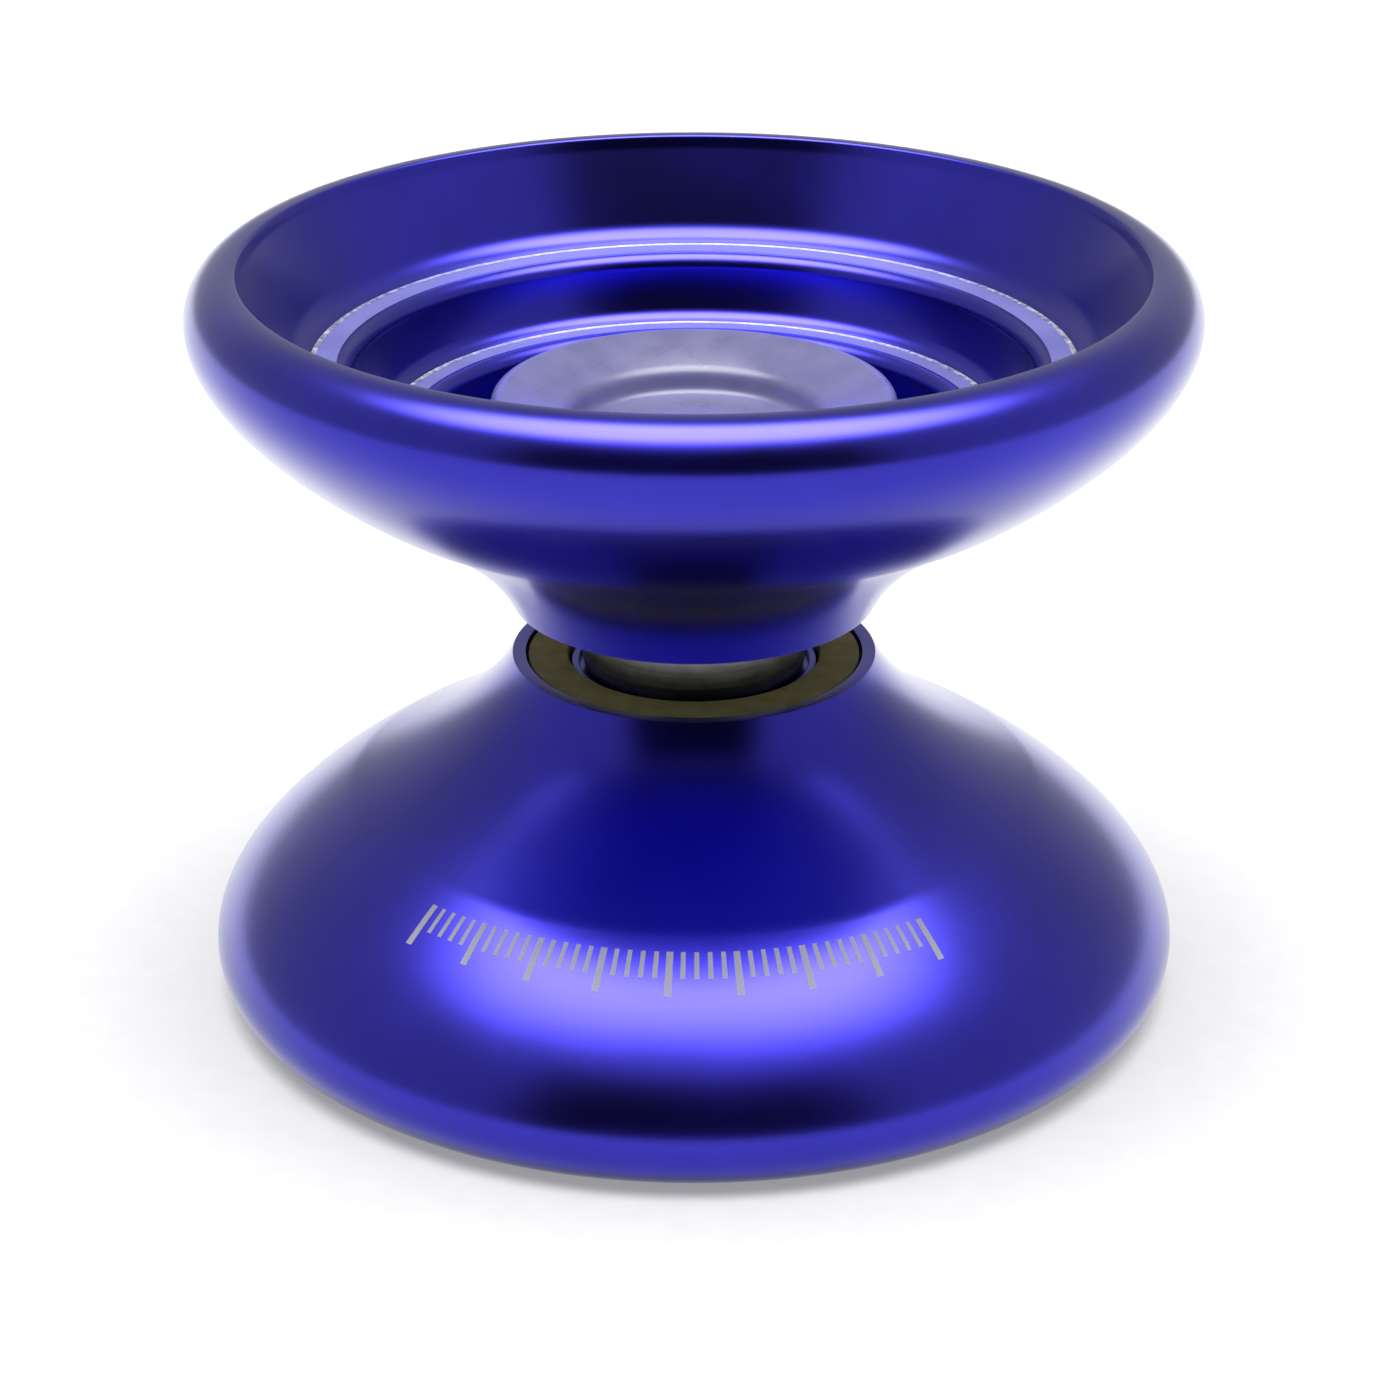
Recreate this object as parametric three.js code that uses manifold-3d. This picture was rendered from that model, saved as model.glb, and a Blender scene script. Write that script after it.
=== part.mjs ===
// A ball-bearing yo-yo. Two turned aluminium halves are screwed together on one axle, with a ball
// bearing and two response pads between them. Each half carries a dished cap that spins on a small
// ball bearing of its own. The yo-yo stands on the rim of its lower half, with its spin axis along +Z.

import * as THREE from 'three';
import { mergeVertices } from 'three/addons/utils/BufferGeometryUtils.js';
import Module from 'manifold-3d';

const wasm = await Module();
wasm.setup();

// Driving dimensions, in millimetres. In a half, z is the height above the yo-yo's middle plane.
const DIAMETER = 56;
const WIDTH = 43;
const STRING_GAP = 3.5;
const NECK_RADIUS = 10.4;
const CREASE = { r: 19.9, z: 9.8 };
const WIDEST_Z = 18.8;
const RIM_ROLL = 2.5;
const RIM_FLAT = 0.4;
const LIP = { r: 24.9, z: 20.8 };
const UPPER_STEP = { outer: 21.2, inner: 19.8, z: 15.8, edge: 0.9, fillet: 1.8, lean: 26 };
const LOWER_STEP = { outer: 17.1, inner: 16.0, z: 12.2, edge: 0.9, fillet: 1.1, lean: 23 };
const WELL = { r: 14.4, z: 8.6, floorR: 9, floorZ: 6.1 };

const RUNNING_GAP = 0.05;
const CHAMFER = 0.2;
const BEARING_GROOVE = 0.92;
const MAIN_BEARING = { bore: 6.35, outside: 12.7, width: 4.76, balls: 8, ball: 1.5875, land: 0.925 };
const HUB_BEARING = { bore: 3.175, outside: 9.525, width: 3.967, balls: 7, ball: 1.5875, land: 0.9 };
const BEARING_RELIEF = { depth: 0.35, side: 0.25 };
const HUB_SEAT_Z = 6.35;
const PAD = { outside: 19, inside: 14.4, depth: 1.15, side: 0.15, z: 1.85, lipZ: 2.3 };
const AXLE = { diameter: 4, pitch: 0.7, threadDepth: 0.35, length: 10.5, socket: 2, socketDepth: 2.2 };
const SHIELD = { z: 1.95, thickness: 0.2, mouthDepth: 0.55, mouthStep: 0.4, wire: 0.14, wireWidth: 0.3 };
const CAGE = { width: 0.84, bottom: -1.25, top: 0.45, pocketGap: 0.14 };
const CAP = { r: 11.35, z: 13.9, edge: 0.7, skirt: 1.2 };
const DISH = { ringR: 7.2, ringZ: 12.6, floorR: 6.7, floorZ: 11.35 };

const SHELL_SEGMENTS = 32;
const RING_SEGMENTS = 24;
const BALL_SEGMENTS = [8, 6];

const MIDDLE = WIDTH / 2;
const R = DIAMETER / 2;
const BOSS_Z = 0.3;
const BEARING_SEAT_Z = MAIN_BEARING.width / 2 + RUNNING_GAP;

// Shapes

function point(r, z) {
  return new THREE.Vector2(r, z);
}

// The point at a distance from another, in a direction measured from the spin axis.
function ahead(from, degrees, distance) {
  const angle = THREE.MathUtils.degToRad(degrees);
  return point(from.x + distance * Math.sin(angle), from.y + distance * Math.cos(angle));
}

// Points along an elliptical arc from one angle to another, in degrees, both ends included.
function arc(r, z, radiusR, radiusZ, from, to, steps) {
  const start = THREE.MathUtils.degToRad(from);
  const end = THREE.MathUtils.degToRad(to);
  return new THREE.EllipseCurve(r, z, radiusR, radiusZ, start, end, to < from).getPoints(steps);
}

// A solid turned about Z from an outline that runs with the material on its left.
function turned(outline, segments) {
  return new THREE.LatheGeometry(outline, segments).rotateX(Math.PI / 2);
}

// A turned ring, whose outline closes on itself.
function turnedRing(outline, segments) {
  return turned([...outline, outline[0]], segments);
}

function toManifold(geometry) {
  const bare = geometry.clone();
  bare.deleteAttribute('normal');
  bare.deleteAttribute('uv');
  const merged = mergeVertices(bare, 1e-4);
  return new wasm.Manifold(new wasm.Mesh({
    numProp: 3,
    vertProperties: new Float32Array(merged.attributes.position.array),
    triVerts: new Uint32Array(merged.index.array),
  }));
}

function fromManifold(solid) {
  const mesh = solid.getMesh();
  const geometry = new THREE.BufferGeometry();
  geometry.setAttribute('position', new THREE.BufferAttribute(mesh.vertProperties, 3));
  geometry.setIndex(new THREE.BufferAttribute(mesh.triVerts, 1));
  geometry.computeVertexNormals();
  return geometry;
}

function cut(geometry, tools) {
  let solid = toManifold(geometry);
  for (const tool of tools) {
    solid = solid.subtract(toManifold(tool));
  }
  return fromManifold(solid);
}

// Materials

const ANODISED = { color: 0x3a32b4, roughness: 0.35, metalness: 1 };
const STEEL = { color: 0x8c8f96, roughness: 0.3, metalness: 1 };
const DARK_STEEL = { color: 0x4a4b52, roughness: 0.4, metalness: 1 };
const SILICONE = { color: 0x4b4830, roughness: 0.85, metalness: 0 };
const FROSTED = { color: 0xc4c6de, roughness: 0.5, metalness: 0 };
const NYLON = { color: 0xd8d2bc, roughness: 0.6, metalness: 0 };

function piece(name, geometry, finish) {
  const mesh = new THREE.Mesh(geometry, new THREE.MeshStandardMaterial(finish));
  mesh.name = name;
  return mesh;
}

// A half's shell

// The face towards the string gap: blind axle hole, boss, bearing seat and response recess.
function hubFace() {
  const holeR = AXLE.diameter / 2 + RUNNING_GAP;
  const holeEnd = HUB_SEAT_Z - 1;
  const bossR = MAIN_BEARING.bore / 2 - RUNNING_GAP;
  const shoulderR = bossR + MAIN_BEARING.land - RUNNING_GAP;
  const seatR = MAIN_BEARING.outside / 2 + BEARING_RELIEF.side;
  const seatFloor = BEARING_SEAT_Z + BEARING_RELIEF.depth;
  const recessInner = PAD.inside / 2 - PAD.side;
  const recessOuter = PAD.outside / 2 + PAD.side;
  const recessFloor = PAD.z + PAD.depth + RUNNING_GAP;
  return [
    point(0, holeEnd), point(holeR, holeEnd), point(holeR, BOSS_Z), point(bossR, BOSS_Z),
    point(bossR, BEARING_SEAT_Z), point(shoulderR, BEARING_SEAT_Z), point(shoulderR, seatFloor),
    point(seatR, seatFloor), point(seatR, PAD.lipZ), point(recessInner, PAD.lipZ),
    point(recessInner, recessFloor), point(recessOuter, recessFloor), point(recessOuter, STRING_GAP / 2),
  ];
}

// The outside: a flared neck up to the crease, then a swelling wall up to the rolled rim.
function outsideWall() {
  const neck = point(NECK_RADIUS, STRING_GAP / 2);
  const crease = point(CREASE.r, CREASE.z);
  const widest = point(R, WIDEST_Z);
  const flare = new THREE.CubicBezierCurve(neck, ahead(neck, 25, 3.8), ahead(crease, 62, -4.3), crease);
  const wall = new THREE.CubicBezierCurve(crease, ahead(crease, 58, 3.6), ahead(widest, 0, -3.2), widest);
  const roll = arc(R - RIM_ROLL, WIDEST_Z, RIM_ROLL, MIDDLE - WIDEST_Z, 0, 90, 4);
  return [...flare.getPoints(4), ...wall.getPoints(6).slice(1), ...roll.slice(1)];
}

// A step of the cup: the fillet under the leaning wall above it, the flat land and the rounded edge.
function cupStep(step) {
  return [
    ...arc(step.outer, step.z + step.fillet, step.fillet, step.fillet, -step.lean, -90, 3),
    point(step.inner, step.z),
    ...arc(step.inner, step.z - step.edge, step.edge, step.edge, 90, 180, 2).slice(1),
  ];
}

// The cup, from the flat of the rim in to the post that carries the cap's bearing.
function cup() {
  const postR = HUB_BEARING.bore / 2 - RUNNING_GAP;
  const shoulderR = postR + HUB_BEARING.land - RUNNING_GAP;
  const postEnd = HUB_SEAT_Z + HUB_BEARING.width;
  return [
    point(R - RIM_ROLL - RIM_FLAT, MIDDLE), point(LIP.r, LIP.z),
    ...cupStep(UPPER_STEP), ...cupStep(LOWER_STEP),
    point(WELL.r, WELL.z), point(WELL.floorR, WELL.floorZ), point(shoulderR, WELL.floorZ),
    point(shoulderR, HUB_SEAT_Z), point(postR, HUB_SEAT_Z), point(postR, postEnd), point(0, postEnd),
  ];
}

function shell(name) {
  return piece(name, turned([...hubFace(), ...outsideWall(), ...cup()], SHELL_SEGMENTS), ANODISED);
}

// The pieces that a half carries

function responsePad(name) {
  const inner = PAD.inside / 2;
  const outer = PAD.outside / 2;
  const back = PAD.z + PAD.depth;
  const outline = [point(inner, PAD.z), point(outer, PAD.z), point(outer, back), point(inner, back)];
  return piece(name, turnedRing(outline, RING_SEGMENTS), SILICONE);
}

// The dished cap: its skirt grips the outer ring of the hub bearing from outside.
function hubCap(name) {
  const socketR = HUB_BEARING.outside / 2 + RUNNING_GAP;
  const skirtR = socketR + CAP.skirt;
  const skirtEnd = HUB_SEAT_Z + CAP.edge;
  const seat = HUB_SEAT_Z + HUB_BEARING.width + 2 * RUNNING_GAP;
  const relief = seat + 4 * RUNNING_GAP;
  const reliefR = HUB_BEARING.outside / 2 - HUB_BEARING.land;
  const rim = arc(CAP.r - CAP.edge, CAP.z - CAP.edge, CAP.edge, CAP.edge, -60, 100, 4);
  const outline = [
    point(0, relief), point(reliefR, relief), point(reliefR, seat), point(socketR, seat),
    point(socketR, skirtEnd), point(skirtR, skirtEnd), point(skirtR, seat - CAP.edge / 2),
    point(DISH.ringR + CAP.edge, seat + CAP.edge), ...rim,
    point(DISH.ringR, DISH.ringZ), point(DISH.floorR, DISH.floorZ), point(0, DISH.floorZ),
  ];
  return piece(name, turned(outline, RING_SEGMENTS), FROSTED);
}

// Ball bearings

function pitchRadius(bearing) {
  return (bearing.bore + bearing.outside) / 4;
}

function innerRing(name, bearing) {
  const half = bearing.width / 2;
  const bore = bearing.bore / 2;
  const land = bore + bearing.land;
  const pitch = pitchRadius(bearing);
  const reach = THREE.MathUtils.radToDeg(Math.acos((pitch - land) / BEARING_GROOVE));
  const groove = arc(pitch, 0, BEARING_GROOVE, BEARING_GROOVE, 180 + reach, 180 - reach, 4);
  const outline = [point(bore, -half), point(land, -half), ...groove, point(land, half), point(bore, half)];
  return piece(name, turnedRing(outline, RING_SEGMENTS), STEEL);
}

// The main bearing's outer ring has a stepped mouth at each face, where a shield sits.
function outerRing(name, bearing, mouth = 0) {
  const half = bearing.width / 2;
  const outside = bearing.outside / 2;
  const land = outside - bearing.land;
  const pitch = pitchRadius(bearing);
  const reach = THREE.MathUtils.radToDeg(Math.acos((land - pitch) / BEARING_GROOVE));
  const groove = arc(pitch, 0, BEARING_GROOVE, BEARING_GROOVE, reach, -reach, 4);
  const mouthZ = half - mouth;
  const mouthR = land + SHIELD.mouthStep;
  const plain = [point(land, half)];
  const upper = mouth > 0 ? [point(mouthR, half), point(mouthR, mouthZ), point(land, mouthZ)] : plain;
  const lower = upper.map((p) => point(p.x, -p.y)).reverse();
  const outline = [
    point(outside - CHAMFER, -half), point(outside, CHAMFER - half), point(outside, half - CHAMFER),
    point(outside - CHAMFER, half), ...upper, ...groove, ...lower,
  ];
  return piece(name, turnedRing(outline, RING_SEGMENTS), DARK_STEEL);
}

function ballPlace(bearing, index) {
  const angle = (2 * Math.PI * index) / bearing.balls;
  const pitch = pitchRadius(bearing);
  return new THREE.Vector3(pitch * Math.cos(angle), pitch * Math.sin(angle), 0);
}

function ball(name, bearing, index) {
  const mesh = piece(name, new THREE.SphereGeometry(bearing.ball / 2, ...BALL_SEGMENTS), STEEL);
  mesh.position.copy(ballPlace(bearing, index));
  return mesh;
}

// A crown cage: one ring below the balls, with an open pocket around each of them.
function cage(name, bearing) {
  const pitch = pitchRadius(bearing);
  const inner = pitch - CAGE.width / 2;
  const outer = pitch + CAGE.width / 2;
  const { bottom, top } = CAGE;
  const outline = [point(inner, bottom), point(outer, bottom), point(outer, top), point(inner, top)];
  const pockets = [];
  for (let index = 0; index < bearing.balls; index += 1) {
    const pocket = new THREE.SphereGeometry(bearing.ball / 2 + CAGE.pocketGap, ...BALL_SEGMENTS);
    pockets.push(pocket.translate(...ballPlace(bearing, index).toArray()));
  }
  return piece(name, cut(turnedRing(outline, RING_SEGMENTS), pockets), NYLON);
}

function balls(prefix, bearing) {
  const all = [];
  for (let index = 0; index < bearing.balls; index += 1) {
    all.push(ball(`${prefix}_${index + 1}`, bearing, index));
  }
  return all;
}

// A thin shield lies in the mouth of the outer ring, with a split ring over it.
function shieldAndSnapRing(end) {
  const inner = MAIN_BEARING.bore / 2 + MAIN_BEARING.land + 3 * RUNNING_GAP;
  const mouthR = MAIN_BEARING.outside / 2 - MAIN_BEARING.land + SHIELD.mouthStep;
  const outer = mouthR - RUNNING_GAP;
  const { z, thickness } = SHIELD;
  const disc = [point(inner, z), point(outer, z), point(outer, z + thickness), point(inner, z + thickness)];
  const split = THREE.MathUtils.degToRad(12);
  const outline = new THREE.Shape();
  outline.absarc(0, 0, outer, split, 2 * Math.PI - split, false);
  outline.absarc(0, 0, outer - SHIELD.wireWidth, 2 * Math.PI - split, split, true);
  const flatWire = { depth: SHIELD.wire, bevelEnabled: false, curveSegments: 16 };
  const wire = new THREE.ExtrudeGeometry(outline, flatWire);
  wire.translate(0, 0, z + thickness + RUNNING_GAP);
  return [
    piece(`bearing_shield_${end}`, turnedRing(disc, RING_SEGMENTS), STEEL),
    piece(`bearing_snap_ring_${end}`, wire, STEEL),
  ];
}

// The axle is a set screw with a hexagon socket. Its thread is cut as rings at the true pitch.
function axleScrew() {
  const major = AXLE.diameter / 2;
  const minor = major - AXLE.threadDepth;
  const half = AXLE.length / 2;
  const turns = Math.floor(AXLE.length / AXLE.pitch) - 1;
  const firstCrest = -(turns * AXLE.pitch) / 2;
  const outline = [point(0, -half), point(minor, -half)];
  for (let turn = 0; turn < turns; turn += 1) {
    const crest = firstCrest + (turn + 0.5) * AXLE.pitch;
    outline.push(point(minor, crest - AXLE.pitch / 2), point(major, crest));
  }
  outline.push(point(minor, half), point(0, half));
  const socketR = AXLE.socket / Math.sqrt(3);
  const socket = new THREE.CylinderGeometry(socketR, socketR, AXLE.socketDepth * 2, 6);
  socket.rotateX(Math.PI / 2).translate(0, 0, half);
  return piece('axle_screw', cut(turned(outline, RING_SEGMENTS / 2), [socket]), DARK_STEEL);
}

// Assembly

// Everything that one half carries, standing on the middle plane with the cup upwards.
function half(end) {
  const group = new THREE.Group();
  group.add(shell(`${end}_shell`), responsePad(`${end}_response_pad`), hubCap(`${end}_hub_cap`));
  const bearing = new THREE.Group();
  bearing.position.z = HUB_SEAT_Z + RUNNING_GAP + HUB_BEARING.width / 2;
  bearing.add(
    innerRing(`${end}_hub_bearing_inner_ring`, HUB_BEARING),
    outerRing(`${end}_hub_bearing_outer_ring`, HUB_BEARING),
    cage(`${end}_hub_bearing_cage`, HUB_BEARING),
    ...balls(`${end}_hub_bearing_ball`, HUB_BEARING),
  );
  group.add(bearing);
  return group;
}

function mainBearing() {
  const group = new THREE.Group();
  group.add(
    innerRing('bearing_inner_ring', MAIN_BEARING),
    outerRing('bearing_outer_ring', MAIN_BEARING, SHIELD.mouthDepth),
    cage('bearing_cage', MAIN_BEARING),
    ...balls('bearing_ball', MAIN_BEARING),
    ...shieldAndSnapRing('upper'),
  );
  const underside = new THREE.Group();
  underside.rotation.x = Math.PI;
  underside.add(...shieldAndSnapRing('lower'));
  group.add(underside);
  return group;
}

const yoyo = new THREE.Group();
const upperHalf = half('upper');
const lowerHalf = half('lower');
lowerHalf.rotation.x = Math.PI;
const middle = new THREE.Group();
middle.position.z = MIDDLE;
middle.add(upperHalf, lowerHalf, mainBearing(), axleScrew());
yoyo.add(middle);

export default yoyo;
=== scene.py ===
import math

import bmesh
import bpy
from mathutils import Matrix, Vector


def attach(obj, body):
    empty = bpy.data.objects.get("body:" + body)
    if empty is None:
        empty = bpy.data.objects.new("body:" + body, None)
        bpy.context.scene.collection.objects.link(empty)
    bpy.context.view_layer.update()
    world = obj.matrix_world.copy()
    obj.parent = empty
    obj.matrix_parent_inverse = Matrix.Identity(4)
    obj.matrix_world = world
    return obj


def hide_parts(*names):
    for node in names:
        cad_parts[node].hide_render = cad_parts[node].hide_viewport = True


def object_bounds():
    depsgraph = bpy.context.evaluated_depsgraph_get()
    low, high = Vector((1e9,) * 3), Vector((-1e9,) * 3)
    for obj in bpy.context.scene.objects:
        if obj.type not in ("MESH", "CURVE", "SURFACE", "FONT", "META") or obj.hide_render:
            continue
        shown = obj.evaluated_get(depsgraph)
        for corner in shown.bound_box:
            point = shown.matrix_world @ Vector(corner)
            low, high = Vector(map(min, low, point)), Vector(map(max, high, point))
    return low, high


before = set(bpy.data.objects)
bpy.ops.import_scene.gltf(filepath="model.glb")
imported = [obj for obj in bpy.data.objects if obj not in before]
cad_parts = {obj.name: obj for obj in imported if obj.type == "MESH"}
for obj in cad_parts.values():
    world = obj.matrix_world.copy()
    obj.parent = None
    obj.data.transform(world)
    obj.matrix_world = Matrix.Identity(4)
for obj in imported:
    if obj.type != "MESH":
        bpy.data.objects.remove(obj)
cad_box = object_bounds()

# The turned pieces are made again here, finer than in the CAD model. Lengths are in millimetres,
# and in a half z is the height above the yo-yo's middle plane.
MM = 0.001
low, high = (Vector(corner) for corner in cad_box)
MIDDLE_Z = (low.z + high.z) / 2
RADIUS = (high.x - low.x) / 2 / MM
HALF_WIDTH = (high.z - low.z) / 2 / MM

STRING_GAP = 3.5
NECK_RADIUS = 10.4
CREASE = (19.9, 9.8)
WIDEST_Z = 18.8
RIM_ROLL = 2.5
RIM_FLAT = 0.4
LIP = (24.9, 20.8)
LIP_LEAN = (0.4, 0.6)
UPPER_STEP = {"outer": 21.2, "inner": 19.8, "z": 15.8, "edge": 0.9, "fillet": 1.8, "lean": 26}
LOWER_STEP = {"outer": 17.1, "inner": 16.0, "z": 12.2, "edge": 0.9, "fillet": 1.1, "lean": 23}
WELL = {"r": 14.4, "z": 8.6, "floor_r": 9.0, "floor_z": 6.1}

# A curve has a direction in degrees from the spin axis, and a reach, at each of its ends.
NECK_CURVE = {"start": 25, "start_reach": 3.8, "end": 62, "end_reach": 4.3, "steps": 32}
WALL_CURVE = {"start": 58, "start_reach": 3.6, "end": 0, "end_reach": 3.2, "steps": 40}

GAP = 0.05
MAIN_BEARING = {"bore": 6.35, "outside": 12.7, "width": 4.76, "land": 0.925}
HUB_BEARING = {"bore": 3.175, "outside": 9.525, "width": 3.967, "land": 0.9}
GROOVE = 0.92
MOUTH = {"depth": 0.55, "step": 0.4}
HUB_SEAT_Z = 6.35
BOSS_Z = 0.3
AXLE_RADIUS = 2.0
AXLE_HOLE_END = HUB_SEAT_Z - 1
BEARING_RELIEF = {"depth": 0.35, "side": 0.25}
PAD = {"outside": 19.0, "inside": 14.4, "depth": 1.15, "side": 0.15, "z": 1.85, "lip_z": 2.3}
CAP = {"r": 11.35, "z": 13.9, "edge": 0.7, "ring_r": 7.2, "ring_z": 12.6, "floor_r": 6.7,
       "floor_z": 11.35, "skirt": 1.2}

# How far the corners of each outline are rounded off, and the share of a side that this may take.
ROUNDING = {"hub": 0.08, "lip": 0.2, "well": 0.3, "pad": 0.15, "skirt": 0.1, "dish": 0.5,
            "ring": 0.25}
ROUNDING_SHARE = 0.4

SHELL_SEGMENTS = 192
RING_SEGMENTS = 128
BALL_SUBDIVISION = 2
SHARP_ANGLE = math.radians(35)
TOLERANCE = 0.01
WELD = 1e-4

# The surface details. A tick runs between two points of the wall, counted from the crease. Its half
# width is in degrees, as are the mark's span and the way it faces.
TOOL_PITCH = 0.754
GRINDING_SCALE = (0.05, 0.05, 1)
LINE = {"width": 0.3, "lift": 0.01}
MARK = {"ticks": 41, "group": 5, "span": 78, "facing": -93.5}
LONG_TICK = {"first": 4, "last": 12, "half_width": 0.5}
SHORT_TICK = {"first": 4, "last": 9, "half_width": 0.35}

# A noise seldom leaves this range. The Wave texture's rings repeat over this distance at scale 1.
NOISE_LOW, NOISE_HIGH = 0.3, 0.7
WAVE_PERIOD = math.pi / 10

# The light tent. An edge is where a light fades: in height for the arch and the top of the opening,
# in depth for the back, and in how far a direction faces the camera for the sides of the opening.
WALL_LIGHT = 0.55
BACK_LIGHT = 0.4
BACK_EDGE = (0.1, 0.7)
ARCH_LIGHT = 12.0
ARCH_REACH = 0.3
ARCH_EDGE = (0.86, 0.985)
OPENING_LIGHT = 0.01
OPENING_SIDES = (0.64, 0.85)
OPENING_TOP = (0.7, 0.82)
FLOOR_GLOW = 0.3
NEARLY_ZERO = 0.001

# The floor and the camera, in metres, with the lens and the sensor in millimetres.
FLOOR_REACH = 1.5
CAMERA_LENS = 98.13
SENSOR_WIDTH = 36
CAMERA_TILT = math.radians(24.0)
CAMERA_DISTANCE = 0.21643
CAMERA_DROP = 0.00452
CLIP_START = 0.01


# Outlines

def ahead(start, degrees, distance):
    """The point at a distance from start, in a direction measured from the spin axis."""
    angle = math.radians(degrees)
    return (start[0] + distance * math.sin(angle), start[1] + distance * math.cos(angle))


def arc(r, z, radius_r, radius_z, start, end, steps):
    """Points along an elliptical arc from one angle to another, in degrees."""
    angles = [math.radians(start + (end - start) * i / steps) for i in range(steps + 1)]
    return [(r + radius_r * math.cos(a), z + radius_z * math.sin(a)) for a in angles]


def bezier(a, b, c, d, steps):
    """Points along a cubic Bezier curve."""
    points = []
    for i in range(steps + 1):
        t = i / steps
        weights = ((1 - t) ** 3, 3 * t * (1 - t) ** 2, 3 * t * t * (1 - t), t ** 3)
        weighted = list(zip(weights, (a, b, c, d)))
        points.append(tuple(sum(w * p[k] for w, p in weighted) for k in (0, 1)))
    return points


def curve(start, end, shape):
    """A curve between two points, with the directions and reaches that shape gives."""
    leaving = ahead(start, shape["start"], shape["start_reach"])
    arriving = ahead(end, shape["end"], -shape["end_reach"])
    return bezier(start, leaving, arriving, end, shape["steps"])


def rounded(corners, radius, closed=False, steps=3):
    """The outline through these corners, each one rounded off. An open outline keeps its ends."""
    points = []
    count = len(corners)
    for i, corner in enumerate(corners):
        if not closed and i in (0, count - 1):
            points.append(corner)
            continue
        here = Vector(corner)
        before = Vector(corners[i - 1]) - here
        after = Vector(corners[(i + 1) % count]) - here
        cut = min(radius, before.length * ROUNDING_SHARE, after.length * ROUNDING_SHARE)
        a = here + before.normalized() * cut
        b = here + after.normalized() * cut
        for step in range(steps + 1):
            t = step / steps
            points.append(tuple(a * (1 - t) ** 2 + here * 2 * t * (1 - t) + b * t * t))
    return points


def hub_face():
    """The face towards the string gap, from the blind axle hole out to the response recess."""
    hole_r = AXLE_RADIUS + GAP
    boss_r = MAIN_BEARING["bore"] / 2 - GAP
    shoulder_r = boss_r + MAIN_BEARING["land"] - GAP
    seat_r = MAIN_BEARING["outside"] / 2 + BEARING_RELIEF["side"]
    seat_z = MAIN_BEARING["width"] / 2 + GAP
    seat_floor = seat_z + BEARING_RELIEF["depth"]
    recess_inner = PAD["inside"] / 2 - PAD["side"]
    recess_outer = PAD["outside"] / 2 + PAD["side"]
    recess_floor = PAD["z"] + PAD["depth"] + GAP
    corners = [
        (0, AXLE_HOLE_END), (hole_r, AXLE_HOLE_END), (hole_r, BOSS_Z), (boss_r, BOSS_Z),
        (boss_r, seat_z), (shoulder_r, seat_z), (shoulder_r, seat_floor), (seat_r, seat_floor),
        (seat_r, PAD["lip_z"]), (recess_inner, PAD["lip_z"]), (recess_inner, recess_floor),
        (recess_outer, recess_floor), (recess_outer, STRING_GAP / 2), (NECK_RADIUS, STRING_GAP / 2),
    ]
    return rounded(corners, ROUNDING["hub"])


def outside_wall():
    """The body's outer wall beyond the crease, up to its widest point."""
    return curve(CREASE, (RADIUS, WIDEST_Z), WALL_CURVE)


def outside():
    """The flared neck up to the crease, the wall, and the rolled rim."""
    flare = curve((NECK_RADIUS, STRING_GAP / 2), CREASE, NECK_CURVE)
    roll = arc(RADIUS - RIM_ROLL, WIDEST_Z, RIM_ROLL, HALF_WIDTH - WIDEST_Z, 0, 90, 16)
    return flare[1:] + outside_wall()[1:] + roll[1:]


def cup_step(step):
    """A step of the cup: the fillet under the leaning wall, the flat land and the rounded edge."""
    fillet, edge = step["fillet"], step["edge"]
    top = arc(step["outer"], step["z"] + fillet, fillet, fillet, -step["lean"], -90, 12)
    nose = arc(step["inner"], step["z"] - edge, edge, edge, 90, 180, 10)
    return top + nose


def cup():
    """The open side, from the flat of the rim in to the post that carries the cap's bearing.

    The rim's last corner is left out of the outline, and only gives the lip its rounding."""
    post_r = HUB_BEARING["bore"] / 2 - GAP
    shoulder_r = post_r + HUB_BEARING["land"] - GAP
    post_end = HUB_SEAT_Z + HUB_BEARING["width"]
    roll_end = (RADIUS - RIM_ROLL, HALF_WIDTH)
    flat_end = (RADIUS - RIM_ROLL - RIM_FLAT, HALF_WIDTH)
    below_lip = (LIP[0] - LIP_LEAN[0], LIP[1] - LIP_LEAN[1])
    rim = rounded([roll_end, flat_end, LIP, below_lip], ROUNDING["lip"])
    well = rounded([
        (LOWER_STEP["inner"] - LOWER_STEP["edge"], LOWER_STEP["z"] - LOWER_STEP["edge"]),
        (WELL["r"], WELL["z"]), (WELL["floor_r"], WELL["floor_z"]), (shoulder_r, WELL["floor_z"]),
        (shoulder_r, HUB_SEAT_Z), (post_r, HUB_SEAT_Z), (post_r, post_end), (0, post_end),
    ], ROUNDING["well"])
    return rim[1:-1] + cup_step(UPPER_STEP) + cup_step(LOWER_STEP) + well[1:]


def pad_outline():
    """The response pad, a flat ring with soft edges."""
    inner, outer = PAD["inside"] / 2, PAD["outside"] / 2
    back = PAD["z"] + PAD["depth"]
    corners = [(inner, PAD["z"]), (outer, PAD["z"]), (outer, back), (inner, back)]
    return rounded(corners, ROUNDING["pad"], closed=True)


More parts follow.
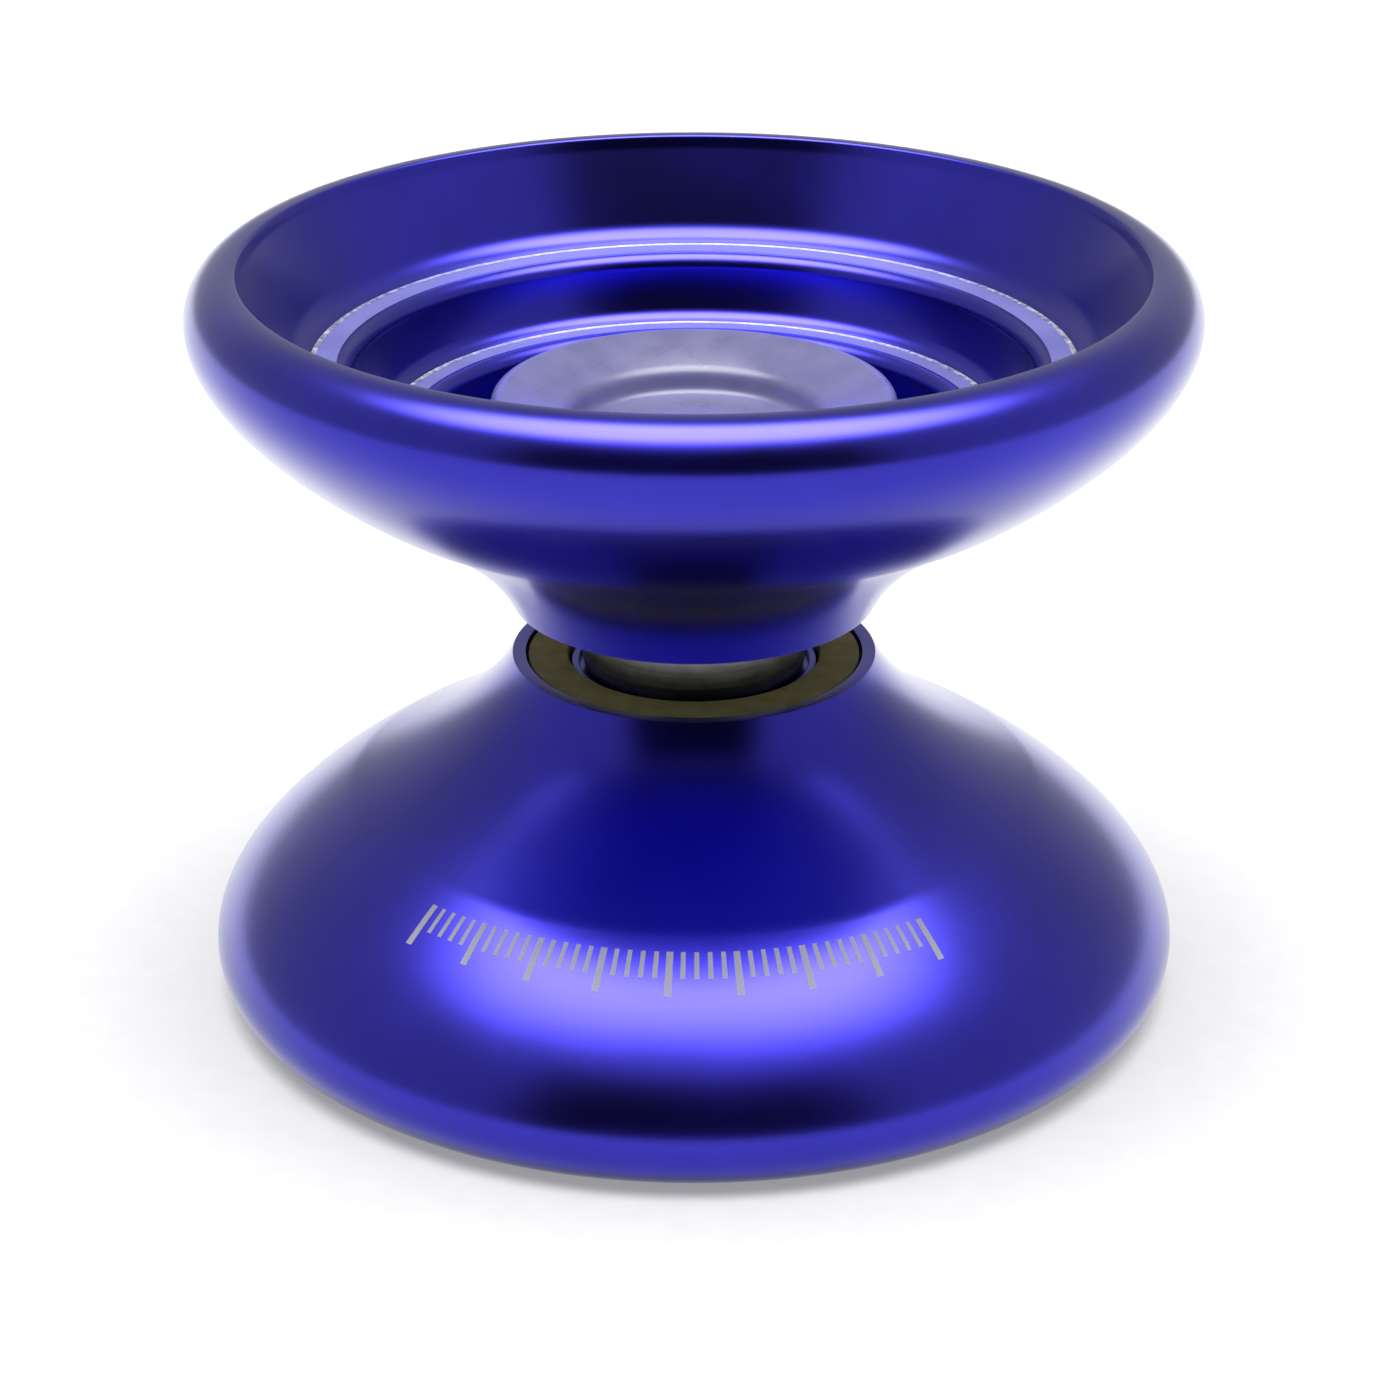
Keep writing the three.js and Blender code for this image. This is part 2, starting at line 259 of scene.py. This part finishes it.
def cap_outline():
    """The dished cap, whose skirt grips the hub bearing from outside.

    The rim is one arc, from under its edge to a little past its top."""
    edge = CAP["edge"]
    socket_r = HUB_BEARING["outside"] / 2 + GAP
    skirt_r = socket_r + CAP["skirt"]
    seat = HUB_SEAT_Z + HUB_BEARING["width"] + 2 * GAP
    relief = seat + 4 * GAP
    relief_r = HUB_BEARING["outside"] / 2 - HUB_BEARING["land"]
    skirt_end = HUB_SEAT_Z + edge
    under = [
        (0, relief), (relief_r, relief), (relief_r, seat), (socket_r, seat), (socket_r, skirt_end),
        (skirt_r, skirt_end), (skirt_r, seat - edge / 2), (CAP["ring_r"] + edge, seat + edge),
    ]
    rim = arc(CAP["r"] - edge, CAP["z"] - edge, edge, edge, -60, 100, 14)
    dish = [
        rim[-1], (CAP["ring_r"], CAP["ring_z"]), (CAP["floor_r"], CAP["floor_z"]), (0, CAP["floor_z"]),
    ]
    return rounded(under, ROUNDING["skirt"]) + rim + rounded(dish, ROUNDING["dish"], steps=6)[1:]


def outer_ring_outline():
    """The main bearing's outer ring, with the ball groove and a stepped mouth at each face."""
    half = MAIN_BEARING["width"] / 2
    outside_r = MAIN_BEARING["outside"] / 2
    land = outside_r - MAIN_BEARING["land"]
    pitch = (MAIN_BEARING["bore"] + MAIN_BEARING["outside"]) / 4
    reach = math.degrees(math.acos((land - pitch) / GROOVE))
    mouth_r = land + MOUTH["step"]
    mouth_z = half - MOUTH["depth"]
    corners = [(mouth_r, -half), (outside_r, -half), (outside_r, half), (mouth_r, half)]
    outer = rounded(corners, ROUNDING["ring"])
    groove = arc(pitch, 0, GROOVE, GROOVE, reach, -reach, 10)
    upper_mouth = [(mouth_r, mouth_z), (land, mouth_z)]
    lower_mouth = [(land, -mouth_z), (mouth_r, -mouth_z)]
    return outer + upper_mouth + groove + lower_mouth


# Meshes

def round_axis(r, z, angle):
    """The point at a radius and a height in millimetres and an angle round the axis, in metres."""
    return (r * MM * math.cos(angle), r * MM * math.sin(angle), z * MM)


def turned(name, outline, segments, flip=False, closed=False):
    """A mesh turned about the spin axis. The outline's heights are from the middle plane.

    flip turns it over for the lower half. A closed outline makes a ring."""
    solid = bmesh.new()
    rings = []
    for step in range(segments):
        angle = 2 * math.pi * step / segments
        rings.append([solid.verts.new(round_axis(r, z, angle)) for r, z in outline])
    last = len(outline) if closed else len(outline) - 1
    for step, ring in enumerate(rings):
        following = rings[(step + 1) % segments]
        for i in range(last):
            j = (i + 1) % len(outline)
            solid.faces.new((ring[i], following[i], following[j], ring[j]))
    bmesh.ops.remove_doubles(solid, verts=solid.verts, dist=WELD * MM)
    bmesh.ops.recalc_face_normals(solid, faces=solid.faces)
    mesh = bpy.data.meshes.new(name)
    solid.to_mesh(mesh)
    solid.free()
    if flip:
        mesh.transform(Matrix.Rotation(math.pi, 4, "X"))
    mesh.transform(Matrix.Translation((0, 0, MIDDLE_Z)))
    mesh.shade_smooth()
    mesh.set_sharp_from_angle(angle=SHARP_ANGLE)
    return mesh


def add(name, mesh, body, slot, *nodes):
    """A piece in the scene, riding on a body and standing for CAD nodes."""
    obj = bpy.data.objects.new(name, mesh)
    bpy.context.scene.collection.objects.link(obj)
    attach(obj, body)
    if nodes:
        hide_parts(*nodes)


# Materials

def new_material(name):
    """A node material with its shader and a coordinate node in the row frame."""
    material = bpy.data.materials.new(name)
    material.use_nodes = True
    tree = material.node_tree
    coordinates = tree.nodes.new("ShaderNodeTexCoord").outputs["Object"]
    return material, tree, tree.nodes["Principled BSDF"], coordinates


def noise(tree, coordinates, size, detail=3.0):
    """A noise whose grain is about this many millimetres."""
    node = tree.nodes.new("ShaderNodeTexNoise")
    node.inputs["Scale"].default_value = 1 / (size * MM)
    node.inputs["Detail"].default_value = detail
    tree.links.new(coordinates, node.inputs["Vector"])
    return node.outputs["Fac"]


def between(tree, factor, start, end, low_in=NOISE_LOW, high_in=NOISE_HIGH):
    """A value that goes from start to end as factor goes from low_in to high_in."""
    node = tree.nodes.new("ShaderNodeMapRange")
    limits = {"From Min": low_in, "From Max": high_in, "To Min": start, "To Max": end}
    for socket, value in limits.items():
        node.inputs[socket].default_value = value
    node.interpolation_type = "SMOOTHSTEP"
    tree.links.new(factor, node.inputs["Value"])
    return node.outputs["Result"]


def colours(tree, factor, dark, light):
    """A colour that goes from dark to light as a noise rises."""
    node = tree.nodes.new("ShaderNodeValToRGB")
    node.color_ramp.elements[0].position = NOISE_LOW
    node.color_ramp.elements[0].color = (*dark, 1)
    node.color_ramp.elements[1].position = NOISE_HIGH
    node.color_ramp.elements[1].color = (*light, 1)
    tree.links.new(factor, node.inputs["Fac"])
    return node.outputs["Color"]


def bump(tree, height, strength, distance):
    """A normal from this height, where distance is in millimetres."""
    node = tree.nodes.new("ShaderNodeBump")
    node.inputs["Strength"].default_value = strength
    node.inputs["Distance"].default_value = distance * MM
    tree.links.new(height, node.inputs["Height"])
    return node.outputs["Normal"]


def finish_surface(tree, shader, colour, roughness, normal):
    """Links what varies over the surface to the shader."""
    tree.links.new(colour, shader.inputs["Base Color"])
    tree.links.new(roughness, shader.inputs["Roughness"])
    tree.links.new(normal, shader.inputs["Normal"])


def turning_rings(tree, coordinates):
    """Fine concentric tool marks round the spin axis."""
    rings = tree.nodes.new("ShaderNodeTexWave")
    rings.wave_type = "RINGS"
    rings.rings_direction = "Z"
    rings.inputs["Scale"].default_value = WAVE_PERIOD / (TOOL_PITCH * MM)
    rings.inputs["Distortion"].default_value = 0.5
    tree.links.new(coordinates, rings.inputs["Vector"])
    return bump(tree, rings.outputs["Fac"], 0.1, 0.01)


def anodised():
    """Bead-blasted aluminium, dyed violet-blue, under a clear oxide layer."""
    material, tree, shader, coordinates = new_material("anodised_aluminium")
    cloud = noise(tree, coordinates, 9.0)
    blast = noise(tree, coordinates, 0.16, 4.0)
    shader.inputs["Metallic"].default_value = 1.0
    shader.inputs["Coat Weight"].default_value = 1.0
    shader.inputs["Coat Roughness"].default_value = 0.24
    shader.inputs["Coat IOR"].default_value = 1.35
    colour = colours(tree, cloud, (0.016, 0.011, 0.37), (0.022, 0.015, 0.43))
    roughness = between(tree, cloud, 0.22, 0.27)
    finish_surface(tree, shader, colour, roughness, bump(tree, blast, 0.03, 0.02))
    return material


def machined_land_with_painted_sheen():
    """A step's flat, cut after blasting: matt with tool rings, its pale tone partly a painted sheen.
    """
    material, tree, shader, coordinates = new_material("machined_land_with_painted_sheen")
    cloud = noise(tree, coordinates, 4.0)
    # The pale blue-grey is partly the cut metal and partly a painted reflection off the flat.
    colour = colours(tree, cloud, (0.07, 0.07, 0.2), (0.085, 0.085, 0.23))
    roughness = between(tree, cloud, 0.36, 0.44)
    finish_surface(tree, shader, colour, roughness, turning_rings(tree, coordinates))
    return material


def painted_edge_highlight():
    """A painted highlight in pale metal, along the outer edge of a step."""
    material, tree, shader, coordinates = new_material("painted_edge_highlight")
    nicks = noise(tree, coordinates, 0.3, 4.0)
    shader.inputs["Metallic"].default_value = 1.0
    # The pale colour paints the highlight that the step's edge catches.
    colour = colours(tree, nicks, (0.5, 0.5, 0.62), (0.72, 0.72, 0.8))
    roughness = between(tree, nicks, 0.3, 0.45)
    finish_surface(tree, shader, colour, roughness, turning_rings(tree, coordinates))
    return material


def silicone():
    """Cast silicone rubber: matt, slightly mottled, with fine pores."""
    material, tree, shader, coordinates = new_material("olive_silicone")
    mottle = noise(tree, coordinates, 1.2)
    pores = noise(tree, coordinates, 0.12, 5.0)
    shader.inputs["Specular IOR Level"].default_value = 0.35
    colour = colours(tree, mottle, (0.3, 0.27, 0.1), (0.4, 0.36, 0.15))
    roughness = between(tree, pores, 0.6, 0.85)
    finish_surface(tree, shader, colour, roughness, bump(tree, pores, 0.4, 0.05))
    return material


def frosted():
    """Moulded frosted plastic that lets some light through."""
    material, tree, shader, coordinates = new_material("frosted_plastic")
    haze = noise(tree, coordinates, 2.5)
    grain = noise(tree, coordinates, 0.1, 4.0)
    shader.inputs["Transmission Weight"].default_value = 0.35
    shader.inputs["IOR"].default_value = 1.49
    colour = colours(tree, haze, (0.1, 0.097, 0.2), (0.125, 0.12, 0.24))
    roughness = between(tree, haze, 0.26, 0.34)
    finish_surface(tree, shader, colour, roughness, bump(tree, grain, 0.05, 0.01))
    return material


def ground_steel(name, dark, light, rough):
    """Hardened steel with fine grinding lines round the axis, from a noise stretched across it."""
    material, tree, shader, coordinates = new_material(name)
    stretched = tree.nodes.new("ShaderNodeMapping")
    stretched.inputs["Scale"].default_value = GRINDING_SCALE
    tree.links.new(coordinates, stretched.inputs["Vector"])
    lines = noise(tree, stretched.outputs["Vector"], 0.12, 4.0)
    stain = noise(tree, coordinates, 1.5)
    shader.inputs["Metallic"].default_value = 1.0
    colour = colours(tree, stain, dark, light)
    roughness = between(tree, lines, rough, rough + 0.15)
    finish_surface(tree, shader, colour, roughness, bump(tree, lines, 0.2, 0.01))
    return material


def nylon():
    """Moulded nylon for the ball cages."""
    material, tree, shader, coordinates = new_material("cage_nylon")
    flow = noise(tree, coordinates, 0.8)
    grain = noise(tree, coordinates, 0.08)
    shader.inputs["Subsurface Weight"].default_value = 0.2
    shader.inputs["Subsurface Radius"].default_value = (0.0008, 0.0007, 0.0005)
    colour = colours(tree, flow, (0.55, 0.5, 0.36), (0.68, 0.63, 0.48))
    roughness = between(tree, flow, 0.45, 0.6)
    finish_surface(tree, shader, colour, roughness, bump(tree, grain, 0.2, 0.02))
    return material


def laser_mark():
    """The pale trace that a marking laser leaves in the anodised layer."""
    material, tree, shader, coordinates = new_material("laser_mark")
    hatch = noise(tree, coordinates, 0.07, 2.0)
    shader.inputs["Metallic"].default_value = 0.2
    colour = colours(tree, hatch, (0.22, 0.22, 0.28), (0.32, 0.32, 0.38))
    roughness = between(tree, hatch, 0.5, 0.7)
    finish_surface(tree, shader, colour, roughness, bump(tree, hatch, 0.3, 0.01))
    return material


def floor_paper():
    """White studio paper, with a glow that keeps it as white as the backdrop."""
    material, tree, shader, coordinates = new_material("studio_paper")
    fibre = noise(tree, coordinates, 1.5, 4.0)
    shader.inputs["Specular IOR Level"].default_value = 0.2
    shader.inputs["Emission Color"].default_value = (1, 1, 1, 1)
    shader.inputs["Emission Strength"].default_value = FLOOR_GLOW
    colour = colours(tree, fibre, (0.29, 0.29, 0.29), (0.31, 0.31, 0.31))
    roughness = between(tree, fibre, 0.8, 0.9)
    finish_surface(tree, shader, colour, roughness, bump(tree, fibre, 0.05, 0.05))
    return material


# Pieces

ALUMINIUM = anodised()
LAND = machined_land_with_painted_sheen()
PAINTED_HIGHLIGHT = painted_edge_highlight()
SILICONE = silicone()
FROSTED = frosted()
STEEL = ground_steel("bearing_steel", (0.42, 0.42, 0.43), (0.52, 0.52, 0.53), 0.2)
BLACK_STEEL = ground_steel("black_steel", (0.22, 0.22, 0.225), (0.32, 0.32, 0.325), 0.28)
NYLON = nylon()
MARK_TRACE = laser_mark()


def finish_land(mesh, step):
    """The flat land of a step takes the second material."""
    height = step["z"] * MM
    for face in mesh.polygons:
        radius = face.center.xy.length / MM
        level = abs(abs(face.center.z - MIDDLE_Z) - height) < TOLERANCE * MM
        if level and step["inner"] < radius < step["outer"]:
            face.material_index = 1


def add_painted_highlight_line(end, step, flip):
    """The painted highlight along the outer edge of a step's land, a hair above the surface."""
    fillet, half_width, lift = step["fillet"], LINE["width"] / 2, LINE["lift"]
    climb = math.degrees(half_width / fillet)
    reach = fillet - lift
    on_fillet = arc(step["outer"], step["z"] + fillet, reach, reach, climb - 90, -90, 3)
    line = on_fillet + [(step["outer"] - half_width, step["z"] + lift)]
    name = f"{end}_edge_line_{round(step['outer'])}"
    mesh = turned(name, line, SHELL_SEGMENTS, flip)
    # The pale strip is a painted highlight, not a cut through the dye.
    mesh.materials.append(PAINTED_HIGHLIGHT)
    add(name, mesh, f"{end}_half", "anodised")


def add_half(end, flip):
    """One half's shell, response pad and cap."""
    body = f"{end}_half"
    shell = turned(f"{end}_shell_turned", hub_face() + outside() + cup(), SHELL_SEGMENTS, flip)
    shell.materials.append(ALUMINIUM)
    shell.materials.append(LAND)
    for step in (UPPER_STEP, LOWER_STEP):
        finish_land(shell, step)
        add_painted_highlight_line(end, step, flip)
    pad = turned(f"{end}_pad_ring", pad_outline(), RING_SEGMENTS, flip, closed=True)
    pad.materials.append(SILICONE)
    cap = turned(f"{end}_cap_moulded", cap_outline(), RING_SEGMENTS, flip)
    cap.materials.append(FROSTED)
    add(f"{end}_shell_turned", shell, body, "anodised", f"{end}_shell")
    add(f"{end}_pad_ring", pad, body, "silicone", f"{end}_response_pad")
    add(f"{end}_cap_moulded", cap, f"{end}_cap", "frosted_cap", f"{end}_hub_cap")


def lifted(wall, i):
    """A point of the wall, lifted a hair off it."""
    slope = Vector(wall[i + 1]) - Vector(wall[i - 1])
    outward = Vector((slope.y, -slope.x)).normalized() * LINE["lift"]
    return wall[i][0] + outward.x, wall[i][1] + outward.y


def add_tick(marks, wall, shape, centre):
    """One tick on the lower half's wall, as a strip of faces about an angle in degrees."""
    strip = []
    for i in range(shape["first"], shape["last"] + 1):
        r, z = lifted(wall, i)
        pair = []
        for side in (-shape["half_width"], shape["half_width"]):
            x, y, height = round_axis(r, -z, math.radians(centre + side))
            pair.append(marks.verts.new((x, y, height + MIDDLE_Z)))
        strip.append(pair)
    for a, b in zip(strip, strip[1:]):
        marks.faces.new((a[0], b[0], b[1], a[1]))


def add_mark():
    """An arc of plain ticks on the front of the lower half, just outside its crease."""
    marks = bmesh.new()
    wall = outside_wall()
    for tick in range(MARK["ticks"]):
        centre = MARK["facing"] + MARK["span"] * (tick / (MARK["ticks"] - 1) - 0.5)
        shape = LONG_TICK if tick % MARK["group"] == 0 else SHORT_TICK
        add_tick(marks, wall, shape, centre)
    bmesh.ops.recalc_face_normals(marks, faces=marks.faces)
    mesh = bpy.data.meshes.new("tick_mark")
    marks.to_mesh(mesh)
    marks.free()
    mesh.materials.append(MARK_TRACE)
    add("tick_mark", mesh, "lower_half", "anodised")


def dress_cad_nodes():
    """Finishes for the CAD pieces that nothing replaces. They keep their own shape."""
    for name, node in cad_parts.items():
        if node.hide_render:
            continue
        finish = STEEL
        if "cage" in name:
            finish = NYLON
        elif "outer_ring" in name or "axle" in name:
            finish = BLACK_STEEL
        node.data.materials.clear()
        node.data.materials.append(finish)
        node.data.shade_smooth()
        if "_ball_" in name:
            node.modifiers.new("round", "SUBSURF").render_levels = BALL_SUBDIVISION
        else:
            node.data.set_sharp_from_angle(angle=SHARP_ANGLE)


add_half("upper", flip=False)
add_half("lower", flip=True)
ring = turned("bearing_ring_ground", outer_ring_outline(), RING_SEGMENTS, closed=True)
ring.materials.append(BLACK_STEEL)
add("bearing_ring_ground", ring, "bearing_outer", "black_steel", "bearing_outer_ring")
add_mark()
dress_cad_nodes()


# Studio

def add_floor():
    """A wide sheet of paper under the yo-yo."""
    mesh = bpy.data.meshes.new("floor")
    signs = ((-1, -1), (1, -1), (1, 1), (-1, 1))
    corners = [(x * FLOOR_REACH, y * FLOOR_REACH, 0) for x, y in signs]
    mesh.from_pydata(corners, [], [(0, 1, 2, 3)])
    floor = bpy.data.objects.new("floor", mesh)
    floor.location.z = low.z
    floor.data.materials.append(floor_paper())
    bpy.context.scene.collection.objects.link(floor)


def combine(tree, operation, a, b):
    """A math node. Each input is a socket or a number."""
    node = tree.nodes.new("ShaderNodeMath")
    node.operation = operation
    for socket, value in zip(node.inputs, (a, b)):
        if isinstance(value, (int, float)):
            socket.default_value = value
        else:
            tree.links.new(value, socket)
    return node.outputs[0]


def add_light_tent():
    """A white tent with a bright arch overhead, open and dark towards the camera."""
    world = bpy.data.worlds.new("light_tent")
    bpy.context.scene.world = world
    world.use_nodes = True
    tree = world.node_tree
    direction = tree.nodes.new("ShaderNodeSeparateXYZ")
    coordinates = tree.nodes.new("ShaderNodeTexCoord").outputs["Generated"]
    tree.links.new(coordinates, direction.inputs[0])
    x, y, z = direction.outputs
    sideways = combine(tree, "MULTIPLY", combine(tree, "MULTIPLY", x, x), ARCH_REACH)
    arch = between(tree, combine(tree, "ADD", z, sideways), 0, ARCH_LIGHT, *ARCH_EDGE)
    level_squared = combine(tree, "SUBTRACT", 1, combine(tree, "MULTIPLY", z, z))
    level = combine(tree, "MAXIMUM", combine(tree, "POWER", level_squared, 0.5), NEARLY_ZERO)
    facing = combine(tree, "DIVIDE", combine(tree, "MULTIPLY", y, -1), level)
    between_sides = between(tree, facing, 0, 1, *OPENING_SIDES)
    below_top = between(tree, z, 1, 0, *OPENING_TOP)
    opening = combine(tree, "MULTIPLY", between_sides, below_top)
    sides = between(tree, y, WALL_LIGHT, BACK_LIGHT, *BACK_EDGE)
    wall = combine(tree, "MULTIPLY", combine(tree, "SUBTRACT", 1, opening), sides)
    light = combine(tree, "ADD", combine(tree, "ADD", wall, arch), OPENING_LIGHT)
    tree.nodes["Background"].inputs["Color"].default_value = (1, 1, 1, 1)
    tree.links.new(light, tree.nodes["Background"].inputs["Strength"])


def add_camera():
    """The photograph's view, aimed a little below the middle of the yo-yo."""
    camera = bpy.data.objects.new("camera", bpy.data.cameras.new("camera"))
    bpy.context.scene.collection.objects.link(camera)
    forward = Vector((0, math.cos(CAMERA_TILT), -math.sin(CAMERA_TILT)))
    upward = Vector((0, math.sin(CAMERA_TILT), math.cos(CAMERA_TILT)))
    camera.location = Vector((0, 0, MIDDLE_Z)) - CAMERA_DISTANCE * forward - CAMERA_DROP * upward
    camera.rotation_euler = (math.pi / 2 - CAMERA_TILT, 0, 0)
    camera.data.lens = CAMERA_LENS
    camera.data.sensor_fit = "HORIZONTAL"
    camera.data.sensor_width = SENSOR_WIDTH
    camera.data.clip_start = CLIP_START
    bpy.context.scene.camera = camera


add_floor()
add_light_tent()
add_camera()
bpy.context.scene.view_settings.view_transform = "Standard"
